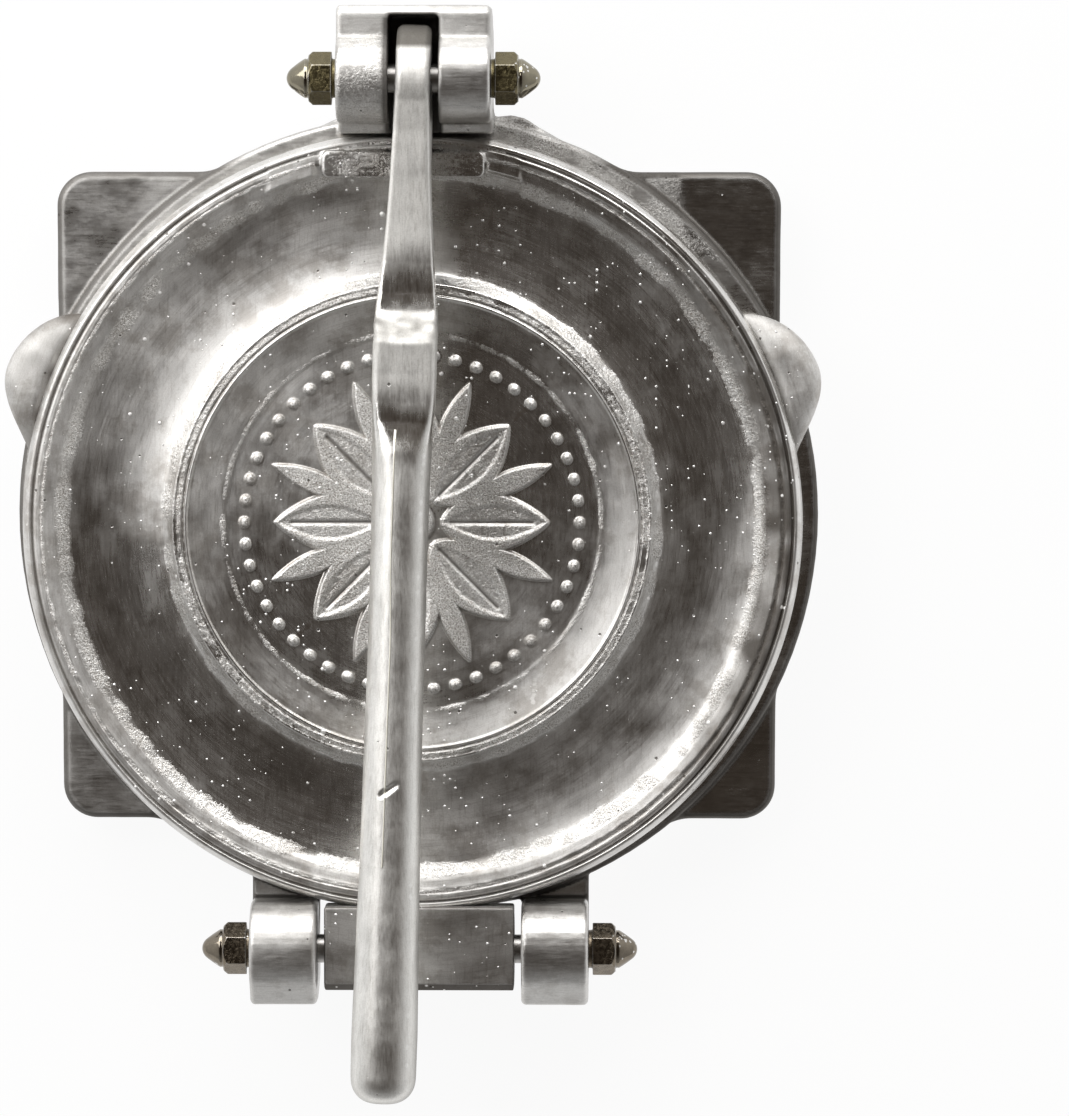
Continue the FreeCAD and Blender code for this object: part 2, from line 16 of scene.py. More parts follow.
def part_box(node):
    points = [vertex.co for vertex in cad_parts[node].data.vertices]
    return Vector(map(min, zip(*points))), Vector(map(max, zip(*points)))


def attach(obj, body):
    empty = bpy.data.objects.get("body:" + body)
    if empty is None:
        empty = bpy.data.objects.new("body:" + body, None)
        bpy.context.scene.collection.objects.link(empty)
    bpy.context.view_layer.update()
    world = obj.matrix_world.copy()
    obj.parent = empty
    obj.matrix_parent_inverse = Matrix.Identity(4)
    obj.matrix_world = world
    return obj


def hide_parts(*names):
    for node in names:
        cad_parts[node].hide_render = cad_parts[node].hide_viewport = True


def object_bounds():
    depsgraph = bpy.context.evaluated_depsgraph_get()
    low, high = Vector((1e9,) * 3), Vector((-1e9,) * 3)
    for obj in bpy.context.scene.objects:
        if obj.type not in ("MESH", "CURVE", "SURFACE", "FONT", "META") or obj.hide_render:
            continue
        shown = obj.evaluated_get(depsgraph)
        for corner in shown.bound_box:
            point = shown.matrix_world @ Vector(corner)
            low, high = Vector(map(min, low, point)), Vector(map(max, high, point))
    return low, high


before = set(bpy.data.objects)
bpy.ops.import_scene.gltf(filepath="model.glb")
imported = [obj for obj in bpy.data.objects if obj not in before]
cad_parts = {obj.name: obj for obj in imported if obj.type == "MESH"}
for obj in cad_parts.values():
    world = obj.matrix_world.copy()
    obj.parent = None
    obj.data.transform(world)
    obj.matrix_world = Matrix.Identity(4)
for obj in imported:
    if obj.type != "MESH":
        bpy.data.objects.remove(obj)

CAD_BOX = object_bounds()
MM = 0.001
WELD_REACH = MM / 1000

# Repeatable random values
SEED = 27
HASH_PRIMES = np.array((73856093, 19349663, 83492791))
HASH_STRIDE = 2654435
HASH_MIX = 1274126177
HASH_MASK = 65535

# Camera, fitted to the photograph
IMAGE_WIDTH = 1069
FOCAL_PIXELS = 7347
SENSOR_WIDTH = 36
CAMERA_PLACE = (65.0, 115.5, 2055.3)
CAMERA_TILT = (-3.343, 0.883, 0.037)
CAMERA_REACH_METRES = 10

# Upper plate, the same main sizes as its solid
PLATE_Y = 6.8
PLATE_Z = 19.35
PLATE_RADIUS = 108.0
RIM_HEIGHT = 10.65
RIM_SIDE = 6.4
RIM_WIDTH = 11
RIM_FOOT = 1.0
VALLEY_THICKNESS = 5.2
RING_RADIUS = 66.3
FIELD_RADIUS = 52.0
FIELD_THICKNESS = 8.0
BRACKET_FLAT = 1.7
SEGMENTS = 900

# The cove between field and ring, and the bowl of the valley; both end that far in from their radius
FIELD_EDGE = 0.6
COVE_STEPS = 12
COVE_ROUND = 0.55
COVE_STRAIGHT = 0.45
COVE_END = 4.2
COVE_LIFT = 0.15
COVE_DROP = 0.55
VALLEY_STEPS = 24
VALLEY_END = 12.6
VALLEY_DEPTH_OUT = 2.4
VALLEY_SAG = 0.9

# Fine steps of the plate's upper side: outwards from the ring's or the plate's radius, and upwards
# from the rim's top, or from the valley's floor for the lip
RING_EDGE = (
    (-3.9, 0.0), (-3.4, 0.05), (-3.1, -0.5), (-2.7, -0.55), (-2.4, -0.1), (-2.0, -0.2),
    (-0.9, -0.3), (-0.5, -0.05), (0.0, -0.2), (0.5, -0.9), (1.4, -1.9), (2.6, -2.9),
)
VALLEY_LIP = ((-12.4, 2.5), (-11.1, 3.15))
RIM_EDGE = (
    (-9.8, -1.5), (-8.6, -1.0), (-6.2, -0.35), (-5.8, -0.6), (-5.2, -0.65), (-4.8, -0.1), (-3.9, 0.0),
    (-3.3, -0.25), (-3.0, -0.95), (-2.7, -0.9), (-2.3, -0.15), (-1.5, -0.35), (-0.6, -1.9),
)

# Rough bands that run round the plate: middle radius, half width and how sandy they are
BANDS = {
    "crevice": (PLATE_RADIUS - 5.5, 0.7, 0.8),
    "groove": (PLATE_RADIUS - 2.9, 0.4, 0.5),
    "edge": (PLATE_RADIUS - 11.2, 2.4, 0.75),
    "band": (RING_RADIUS - 1.8, 1.5, 0.95),
    "shoulder": (RING_RADIUS + 1.6, 1.6, 0.8),
    "foot": (FIELD_RADIUS + 0.4, 1.0, 0.6),
}

# Flat tabs on the rim at both sides of the strike pad: where they are from left to right, and how
# far in from the plate's radius they begin and end
TABS = ((-40.5, -26.0), (19.8, 30.5))
TAB_REACH = (9.4, 2.4)
TAB_SOFT = 1.2

# Cuts that take the knuckle and the strike pad out of the plate's solid
KNUCKLE_CUT = -99.6
PAD_DEPTH = 1.2
PAD_FRONT = 100.5
PAD_SIDES = (-29, 26)

# The lever's rod and the plate's hinge rod
PIVOT_Y = 129.2
PIVOT_Z = 46.0
HINGE_Y = -112.0
HINGE_Z = 23.5

# Finger lugs on the rim
LUG_ANGLE = 21.0
LUG_REACH_LOW = math.radians(12.5)
LUG_REACH_HIGH = math.radians(11.4)
LUG_IN = 1.4
LUG_OUT = 12.3
LUG_START = 0.25
LUG_CREST = 0.30
LUG_HEIGHT = 8.2
LUG_WAIST = 3.2
LUG_FOOT = 0.2
LUG_STEPS_ROUND = 120
LUG_STEPS_ACROSS = 28

# Places along the lever, and marks of hand work on it
GRIP_FROM = PIVOT_Y - 96
HEEL_FROM = 137
RIDGE_Y = 62.0
RIDGE_BOW = 1.4
CREASE_REACH = 6.0
CREASE_FROM = PIVOT_Y - 94
CREASE_LENGTH = 130
NICK_PLACE = (-5.0, -63.5)
NICK_HALF = (2.0, 1.3)
NICK_DEPTHS = (0.5, 0.7, 0.8, 0.8, 0.7, 0.6, 0.4)

# Places on the base that look different: low corner, high corner and softness of a box
HIGH_EARS = ((-60, HINGE_Y, HINGE_Z + 6), (60, -92, 60), 2)
LEFT_BARREL = ((-22, 112, 30), (-6, 142, 70), 3)
LEVER_SLOT = ((-7.5, 112, 22), (8.5, 146, 80), 1.2)
LEDGE = ((-22, 138, 20), (23, 160, 80), 2)
CORNERS = (((75, -100, 0), (130, 110, 19), 4), ((-130, -100, 0), (-75, 110, 19), 4))
RIGHT_SHOULDER = ((27, 70, 5), (95, 124, 30), 6)
LUMP = (25.6, 118.0, 20.0)
LUMP_SIZE = (5.5, 3.0, 9.0)
LUMP_HALO = (8, 5, 12)
# Below this height the base's sides get painted shade
TABLE_TOP = 20.5

# Domes of the cap nuts, by the rod that they are on
DOME_LENGTH = 6.6
DOME_SWELL = {"lever": 0.10, "hinge": 0.06}
DOME_BARE = {"lever": 0.2, "hinge": 0.08}

# Cast ornament in the sunk field: a rosette of petals with darts between and a ring of drops
PETALS = 8
PETAL_IN = 8.0
PETAL_OUT = 38.0
PETAL_HALF_WIDTH = 8.6
DART_IN = 20.0
DART_OUT = 42.0
DART_HALF_WIDTH = 3.4
DROPS = 48
DROP_RING = 46.4
DROP_RADIUS = 1.5
BOSS_RADII = (6.2, 4.4, 2.4)
RELIEF = 1.0

# Finishes. polish is the roughness where polished and where hazy; sizes are in mm; brush, hair and
# near_stretch squeeze a pattern along each axis; round_middle is the middle that brush lines run round
PLAIN_FINISH = {
    "brush": (1, 1, 1), "brush_size": 0.4, "brush_depth": 0.012, "haze": 0.0, "haze_size": 20,
    "dust": 0.3, "edges": 0.4, "near_stretch": (1, 1, 1), "mottle": 0.8, "stains": 0.35,
    "hair": (1.0, 0.07, 1.0), "round_middle": None,
}
FINISHES = {
    "plate_metal": {
        "colour": (0.80, 0.79, 0.77), "dark": (0.21, 0.172, 0.135), "polish": (0.25, 0.56),
        "brush_size": 0.3, "dust": 0.9, "mottle": 0.55, "round_middle": PLATE_Y,
    },
    "base_metal": {
        "colour": (0.71, 0.70, 0.68), "dark": (0.17, 0.145, 0.12), "polish": (0.19, 0.56),
        "brush": (0.12, 1.0, 1.0), "brush_size": 0.35, "haze_size": 16, "dust": 0.25, "edges": 0.12,
        "near_stretch": (0.35, 1, 1), "stains": 0.22, "hair": (0.05, 1.0, 1.0),
    },
    "lever_metal": {
        "colour": (0.86, 0.85, 0.82), "dark": (0.24, 0.21, 0.17), "polish": (0.17, 0.62),
        "brush": (1.0, 0.10, 1.0), "brush_size": 0.35, "haze_size": 14, "dust": 0.05,
        "near_stretch": (1, 0.2, 1), "mottle": 0.25, "stains": 0.08,
    },
    "lever_nut_metal": {
        "colour": (0.19, 0.16, 0.085), "dark": (0.07, 0.058, 0.03), "polish": (0.10, 0.36),
        "brush_depth": 0.004, "haze_size": 4, "dust": 0.1, "edges": 0.8,
    },
    "hinge_nut_metal": {
        "colour": (0.21, 0.175, 0.13), "dark": (0.07, 0.055, 0.04), "polish": (0.08, 0.32),
        "brush_depth": 0.004, "haze_size": 4, "dust": 0.1, "edges": 0.7,
    },
    # A steel painted dark, as painted shade for the rods in the slots
    "rod_steel": {
        "colour": (0.20, 0.185, 0.17), "dark": (0.07, 0.06, 0.05), "polish": (0.3, 0.5),
        "brush": (0.1, 1.0, 1.0), "brush_size": 0.3, "haze": 0.35, "haze_size": 5, "edges": 0.3,
    },
}

# Ramps of the shaders, as (place, amount): how much grain, lines and hairs darken the metal, where edges are
# worn and get a painted glint or hollows get painted shade by their curvature, where flecks crowd, and the
# crease's painted highlight line
GRAIN_DARKENS = ((0.35, 0.14), (0.60, 0))
LINES_DARKEN = ((0.30, 0.18), (0.50, 0))
HAIRS_DARKEN = ((0.32, 0.15), (0.48, 0))
WEAR_AND_GLINT_RAMP = ((0.515, 0), (0.575, 1))
HOLLOW_SHADE_RAMP = ((0.43, 1), (0.485, 0))
CROWD_RAMP = ((0.38, 0), (0.54, 1))
CREASE_RAMP = ((0.473, 0), (0.5, 1), (0.527, 0))

BARE_TONE = (0.72, 0.70, 0.65)
WEAR_AND_GLINT_TONE = (0.93, 0.92, 0.90)
FLECK_TONE = (0.95, 0.94, 0.92)
# The painted highlight along the grip's crease
CREASE_HIGHLIGHT_TONE = (1.0, 0.97, 0.84)

# Stage
FLOOR_HALF_METRES = 3.0
FLOOR_DROP = 0.2
FLOOR_TONES = ((0.90, 0.90, 0.895), (0.93, 0.93, 0.925))
FLOOR_WHITE = 0.93
SKY = (
    (0.0, 0.80), (0.30, 0.75), (0.55, (0.44, 0.43, 0.42)),
    (0.76, (0.13, 0.116, 0.104)), (0.95, (0.050, 0.040, 0.032)),
)
SKY_NORTH = 0.55
SKY_EAST = -0.06
LIGHT_AIM = (0, 0, 20)
LIGHTS = {
    "key_window": {"place": (0, 1250, 720), "size": (1900, 750), "watts": 20},
    "left_panel": {"place": (-800, 560, 760), "size": (800, 1200), "watts": 9.5},
}


# Meshes

def add_object(name, mesh):
    item = bpy.data.objects.new(name, mesh)
    bpy.context.scene.collection.objects.link(item)
    return item


def read_points(mesh):
    """The mesh's vertices as rows, in mm."""
    values = np.empty(len(mesh.vertices) * 3)
    mesh.vertices.foreach_get("co", values)
    return values.reshape(-1, 3) / MM


def write_points(mesh, points):
    mesh.vertices.foreach_set("co", (points * MM).ravel())
    mesh.update()


def read_normals(mesh):
    values = np.empty(len(mesh.vertices) * 3)
    mesh.vertex_normals.foreach_get("vector", values)
    return values.reshape(-1, 3)


def shade_smooth(mesh):
    mesh.polygons.foreach_set("use_smooth", np.ones(len(mesh.polygons), dtype=bool))
    mesh.update()


def fade(value):
    """The value, held between 0 and 1."""
    return np.clip(value, 0, 1)


def hump(value, middle, width):
    """1 where the value is at the middle, and nearly 0 from twice the width on."""
    return np.exp(-((value - middle) / width) ** 2)


def step_up(value, edge):
    """Rises smoothly from 0 to 1 while the value goes from 0 to the edge."""
    share = fade(value / edge)
    return share * share * (3 - 2 * share)


def near_spot(points, spot, size):
    """1 at a spot, falling smoothly over a size along each axis."""
    return np.exp(-np.sum(((points - spot) / size) ** 2, axis=1))


def near_box(points, low, high, soft):
    """1 inside a box and 0 outside, with soft sides."""
    inside = np.ones(len(points))
    for axis in range(3):
        inside *= fade((points[:, axis] - low[axis]) / soft + 0.5)
        inside *= fade((high[axis] - points[:, axis]) / soft + 0.5)
    return inside


def noise(points, size, seed):
    """Smooth random values from -1 to 1 that change over about that size."""
    grid = points / size
    cell = np.floor(grid).astype(np.int64)
    part = grid - cell
    part = part * part * (3 - 2 * part)
    total = np.zeros(len(points))
    for corner in range(8):
        step = np.array([corner & 1, (corner >> 1) & 1, (corner >> 2) & 1])
        key = np.bitwise_xor.reduce((cell + step) * HASH_PRIMES, axis=1) ^ (seed + SEED) * HASH_STRIDE
        key = (key ^ (key >> 13)) * HASH_MIX
        value = ((key ^ (key >> 16)) & HASH_MASK) / (HASH_MASK / 2) - 1
        total += value * np.prod(np.where(step == 1, part, 1 - part), axis=1)
    return total


def softened(rough, name, voxel, smoothing, keep=1.0):
    """Turns a rough object into one with the rounded edges of a casting."""
    remesh = rough.modifiers.new("remesh", "REMESH")
    remesh.mode = "VOXEL"
    remesh.voxel_size = voxel * MM
    smooth = rough.modifiers.new("smooth", "SMOOTH")
    smooth.factor = 0.5
    smooth.iterations = smoothing
    if keep < 1:
        fewer = rough.modifiers.new("fewer", "DECIMATE")
        fewer.ratio = keep
    graph = bpy.context.evaluated_depsgraph_get()
    mesh = bpy.data.meshes.new_from_object(rough.evaluated_get(graph))
    bpy.data.objects.remove(rough)
    mesh.name = name
    shade_smooth(mesh)
    return add_object(name, mesh)


def cast_copy(node, voxel, smoothing, keep=1.0):
    """A softened copy of a whole solid."""
    rough = add_object(node + "_rough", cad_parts[node].data.copy())
    weld = rough.modifiers.new("weld", "WELD")
    weld.merge_threshold = WELD_REACH
    return softened(rough, node + "_cast", voxel, smoothing, keep)


def cut_copy(node, name, planes, voxel, smoothing):
    """A softened copy of the part of a solid that lies inside a few cutting planes."""
    shape = bmesh.new()
    shape.from_mesh(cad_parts[node].data)
    bmesh.ops.remove_doubles(shape, verts=shape.verts, dist=WELD_REACH)
    for place, outward in planes:
        cut = bmesh.ops.bisect_plane(
            shape, geom=shape.verts[:] + shape.edges[:] + shape.faces[:],
            plane_co=Vector(place) * MM, plane_no=Vector(outward), clear_outer=True)
        rim = [part for part in cut["geom_cut"] if isinstance(part, bmesh.types.BMEdge)]
        bmesh.ops.edgeloop_fill(shape, edges=rim)
    mesh = bpy.data.meshes.new(name + "_rough")
    shape.to_mesh(mesh)
    shape.free()
    return softened(add_object(name + "_rough", mesh), name, voxel, smoothing)


def built(name, points, faces):
    """An object from points in mm and faces."""
    mesh = bpy.data.meshes.new(name)
    mesh.from_pydata((points * MM).tolist(), [], faces)
    mesh.update()
    shade_smooth(mesh)
    return add_object(name, mesh)


def push(item, amount):
    """Moves every vertex along its normal, by mm."""
    points = read_points(item.data)
    write_points(item.data, points + read_normals(item.data) * amount(points)[:, None])


def mark(item, name, amounts):
    """Keeps a number from 0 to 1 on every vertex, for the material to read."""
    layer = item.data.attributes.new(name, "FLOAT", "POINT")
    layer.data.foreach_set("value", fade(amounts).astype(np.float32))


def mark_plain(item, cast, haze, seed):
    """Marks a piece as evenly cast and hazy, with soft patches."""
    points = read_points(item.data)
    mark(item, "as_cast", cast + 0.12 * noise(points, 6, seed))
    mark(item, "hazy", haze + 0.15 * noise(points, 14, seed + 1))


def relax(item, weight, rounds):
    """Averages each vertex with its neighbours, as far as its weight from 0 to 1 allows."""
    points = read_points(item.data)
    ends = np.empty(len(item.data.edges) * 2, dtype=np.int64)
    item.data.edges.foreach_get("vertices", ends)
    ends = ends.reshape(-1, 2)
    count = np.bincount(ends.ravel(), minlength=len(points))[:, None]
    share = weight(points)[:, None]
    for _ in range(rounds):
        total = np.zeros_like(points)
        for axis in range(3):
            total[:, axis] += np.bincount(ends[:, 0], points[ends[:, 1], axis], len(points))
            total[:, axis] += np.bincount(ends[:, 1], points[ends[:, 0], axis], len(points))
        points += share * (total / count - points)
    write_points(item.data, points)


def pit(item, centres, radius, depths):
    """Presses small round pits into a surface at the vertices nearest to each centre."""
    points = read_points(item.data)
    normals = read_normals(item.data)
    tree = kdtree.KDTree(len(points))
    for index, point in enumerate(points):
        tree.insert(point, index)
    tree.balance()
    drop = np.zeros(len(points))
    for centre, depth in zip(centres, depths):
        for _, index, distance in tree.find_range(centre, radius):
            drop[index] = max(drop[index], depth * (1 - (distance / radius) ** 2))
    write_points(item.data, points - normals * drop[:, None])


# Upper plate

def plate_profile():
    """Radius and height along the plate's upper side, from its middle to the foot of the rim."""
    corners = [(0, FIELD_THICKNESS), (FIELD_RADIUS - FIELD_EDGE, FIELD_THICKNESS)]
    cove_width = RING_RADIUS - COVE_END - FIELD_RADIUS
    cove_height = RIM_HEIGHT - COVE_DROP - FIELD_THICKNESS
    for step in range(COVE_STEPS + 1):
        along = step / COVE_STEPS
        rise = (1 - math.cos(along * math.pi / 2)) * COVE_ROUND + along * COVE_STRAIGHT
        height = FIELD_THICKNESS + COVE_LIFT + cove_height * rise
        corners.append((FIELD_RADIUS + cove_width * along, height))
    corners += [(RING_RADIUS + out, RIM_HEIGHT + up) for out, up in RING_EDGE]
    valley_in, edge_height = corners[-1]
    valley_width = PLATE_RADIUS - VALLEY_END - valley_in
    depth_in = edge_height - VALLEY_THICKNESS
    for step in range(1, VALLEY_STEPS):
        along = step / VALLEY_STEPS
        bowl = (1 - along) ** 2 * depth_in + along ** 2 * VALLEY_DEPTH_OUT
        bowl = bowl - 2 * along * (1 - along) * VALLEY_SAG
        corners.append((valley_in + valley_width * along, VALLEY_THICKNESS + bowl))
    corners += [(PLATE_RADIUS + out, VALLEY_THICKNESS + up) for out, up in VALLEY_LIP]
    corners += [(PLATE_RADIUS + out, RIM_HEIGHT + up) for out, up in RIM_EDGE]
    corners += [(PLATE_RADIUS, RIM_SIDE), (PLATE_RADIUS, RIM_FOOT), (PLATE_RADIUS - RIM_FOOT, 0)]
    return corners


def plate_spacing(radius):
    """The longest step of the turned mesh at a radius: short where there are fine lines."""
    if radius > PLATE_RADIUS - RIM_WIDTH:
        return 0.3
    if radius > RING_RADIUS + 3:
        return 1.2
    if radius > FIELD_RADIUS:
        return 0.35
    return 0.5


def even_steps(corners, spacing):
    """Points along a run of corners, no further apart than the spacing that its place asks for."""
    found = [corners[0]]
    for (r0, z0), (r1, z1) in zip(corners, corners[1:]):
        run = math.hypot(r1 - r0, z1 - z0)
        count = max(1, math.ceil(run / spacing((r0 + r1) / 2)))
        for step in range(1, count + 1):
            share = step / count
            found.append((r0 + (r1 - r0) * share, z0 + (z1 - z0) * share))
    return np.array(found)


def leaf(along, across, half_width, edge):
    """Height from 0 to 1 of a leaf that lies between 0 and 1 along its middle line."""
    inside = (along > 0) & (along < 1)
    width = half_width * np.sin(np.pi * fade(along) ** 0.8) ** 0.75
    return inside * step_up(width - np.abs(across), edge)


def folded(angle, sector, shift):
    """The angle from the middle of its sector, for a pattern that repeats in each sector."""
    return (angle + shift) % sector - sector / 2


def rosette(x, y):
    """Height from 0 to 1 of the cast ornament at a place measured from the plate's middle."""
    radius = np.hypot(x, y)
    angle = np.arctan2(y, x)
    sector = 2 * np.pi / PETALS
    turn = folded(angle, sector, sector / 2)
    across = radius * np.sin(turn)
    share = (radius * np.cos(turn) - PETAL_IN) / (PETAL_OUT - PETAL_IN)
    petal = leaf(share, across, PETAL_HALF_WIDTH, 0.9)
    rib = np.exp(-(across / 0.55) ** 2) * (share > 0.08) * (share < 0.86)
    lobe_width = PETAL_HALF_WIDTH * 0.62 * np.sin(np.pi * fade(share)) ** 0.9
    lobe = step_up(lobe_width - np.abs(across), 1.4)
    petal = petal * (1 - 0.35 * lobe) - 0.45 * rib * petal
    turn = folded(angle, sector, 0)
    share = (radius * np.cos(turn) - DART_IN) / (DART_OUT - DART_IN)
    dart = leaf(share, radius * np.sin(turn), DART_HALF_WIDTH, 0.8)
    step = 2 * np.pi / DROPS
    turn = folded(angle, step, step / 2)
    drop = step_up(DROP_RADIUS - np.hypot(radius - DROP_RING, radius * np.sin(turn) * 0.8), 0.9)
    outer, middle, inner = BOSS_RADII
    boss = step_up(outer - radius, 0.9) - 0.5 * step_up(middle - radius, 0.8)
    boss = boss + 0.5 * step_up(inner - radius, 0.8)
    return np.maximum.reduce([petal, dart, drop, boss])


def raise_tabs(points, far, upper):
    """Lifts the flat tabs beside the strike pad out of the rim."""
    for left, right in TABS:
        tab = fade(np.minimum(points[:, 0] - left, right - points[:, 0]) / TAB_SOFT)
        inner = far - (PLATE_RADIUS - TAB_REACH[0])
        outer = PLATE_RADIUS - TAB_REACH[1] - far
        tab *= fade(np.minimum(inner, outer) / TAB_SOFT)
        tab *= (points[:, 1] > 0) & upper
        level = RIM_HEIGHT + 0.15 + 0.12 * noise(points, 3.0, 9)
        points[:, 2] += tab * tab * (3 - 2 * tab) * np.maximum(level - points[:, 2], 0)


def roughen_plate(points, far, upper, bands, ornament):
    """Adds the ornament and the unevenness of a sand casting to the plate's upper side."""
    broad = noise(points, 24, 1) * 0.16 + noise(points, 9, 2) * 0.05
    fine = noise(points, 2.2, 3) * 0.015
    valley = fade((far - RING_RADIUS - 2) / 4) * fade((PLATE_RADIUS - RIM_WIDTH - far) / 3)
    filled = bands["crevice"] * fade(0.75 - points[:, 0] / 70)
    points[:, 2] += ornament * RELIEF * (1 + 0.12 * noise(points, 6, 7))
    points[:, 2] += upper * filled * 0.42
    points[:, 2] += upper * (broad * (0.25 + valley) + fine)
    crumbs = bands["crevice"] * noise(points, 1.3, 4) * 0.22
    points[:, 2] += upper * (crumbs + bands["edge"] * noise(points, 1.6, 5) * 0.07)
    crumbs = bands["band"] * noise(points, 1.1, 6) * 0.14
    points[:, 2] += upper * (crumbs + bands["shoulder"] * noise(points, 1.3, 8) * 0.1)
    raise_tabs(points, far, upper)
    points[:, 1] = np.minimum(points[:, 1], PLATE_RADIUS - BRACKET_FLAT)


def plate_marks(points, far, bands, ornament):
    """How sandy and hazy each place of the plate is, and where shade is painted on it, measured from the
    plate's middle.
    """
    sandy = sum(bands[name] * strength for name, (_, _, strength) in BANDS.items())
    as_cast = fade(sandy * (0.8 + 0.6 * noise(points, 4, 31)) + ornament * 0.9)
    east = points[:, 0]
    turned = np.arctan2(points[:, 1], east)
    outward = fade(far / PLATE_RADIUS)
    cove = fade((far - FIELD_RADIUS + 1) / 4) * fade((RING_RADIUS - 3 - far) / 2)
    hazy = 0.20 - 0.13 * outward * np.cos(turned)
    hazy = hazy + 0.60 * outward * np.cos(2 * (turned - math.radians(140)))
    hazy += 0.35 * cove
    hazy += 0.24 * noise(points, 26, 32) + 0.12 * noise(points, 8, 33)
    hazy += 0.8 * fade((far - (PLATE_RADIUS - 12)) / 4) * fade(0.6 - east / 90)
    # Painted shade round the ornament's edges, in the rim's crevice (more towards the right) and in its
    # groove
    outline = fade(ornament * 5) * fade(1.25 - ornament * 2.0)
    painted_shade = 0.75 * outline + 0.55 * bands["crevice"] * fade(0.4 + east / 80) + 0.6 * bands["groove"]
    # Painted shade on the rim's top at the right side
    rim_top = fade((far - (PLATE_RADIUS - 12)) / 2) * fade(PLATE_RADIUS - 1.5 - far)
    painted_shade += 0.8 * rim_top * fade((east - 72) / 20) * (1 + 0.6 * noise(points, 5, 34))
    return as_cast, hazy, painted_shade


def turned_plate():
    """The round plate as a fine turned mesh."""
    run = even_steps(plate_profile(), plate_spacing)
    rounded = run.copy()
    rounded[1:-1] = (run[:-2] + 2 * run[1:-1] + run[2:]) / 4
    underside = [[PLATE_RADIUS * share, 0] for share in (0.9, 0.7, 0.5, 0.3, 0.1)]
    run = np.vstack([rounded, underside])[1:]
    turn = np.arange(SEGMENTS) * 2 * math.pi / SEGMENTS
    radius = run[:, 0][:, None]
    points = np.stack([
        radius * np.cos(turn)[None, :],
        radius * np.sin(turn)[None, :],
        np.repeat(run[:, 1][:, None], SEGMENTS, axis=1),
    ], axis=2).reshape(-1, 3)
    far = np.hypot(points[:, 0], points[:, 1])
    upper = points[:, 2] > RIM_SIDE / 2
    bands = {name: hump(far, middle, width) for name, (middle, width, _) in BANDS.items()}
    ornament = rosette(points[:, 0], points[:, 1]) * (far < FIELD_RADIUS) * upper
    roughen_plate(points, far, upper, bands, ornament)
    as_cast, hazy, painted_shade = plate_marks(points, far, bands, ornament)
    points += np.array([0, PLATE_Y, PLATE_Z])
    rings = len(run)
    faces = []
    for ring in range(rings - 1):
        for step in range(SEGMENTS):
            after = (step + 1) % SEGMENTS
            faces.append((ring * SEGMENTS + step, (ring + 1) * SEGMENTS + step,
                          (ring + 1) * SEGMENTS + after, ring * SEGMENTS + after))
    middle_top = len(points)
    middle_low = middle_top + 1
    centre_height = PLATE_Z + FIELD_THICKNESS + RELIEF
    points = np.vstack([points, [[0, PLATE_Y, centre_height], [0, PLATE_Y, PLATE_Z]]])
    last = (rings - 1) * SEGMENTS
    for step in range(SEGMENTS):
        after = (step + 1) % SEGMENTS
        faces.append((middle_top, step, after))
        faces.append((middle_low, last + after, last + step))
    item = built("plate_disc", points, faces)
    mark(item, "as_cast", np.append(as_cast, [0.8, 0.2]))
    mark(item, "hazy", np.append(hazy, [0.5, 0.5]))
    mark(item, "painted_shade", np.append(painted_shade, [0, 0]))
    return item


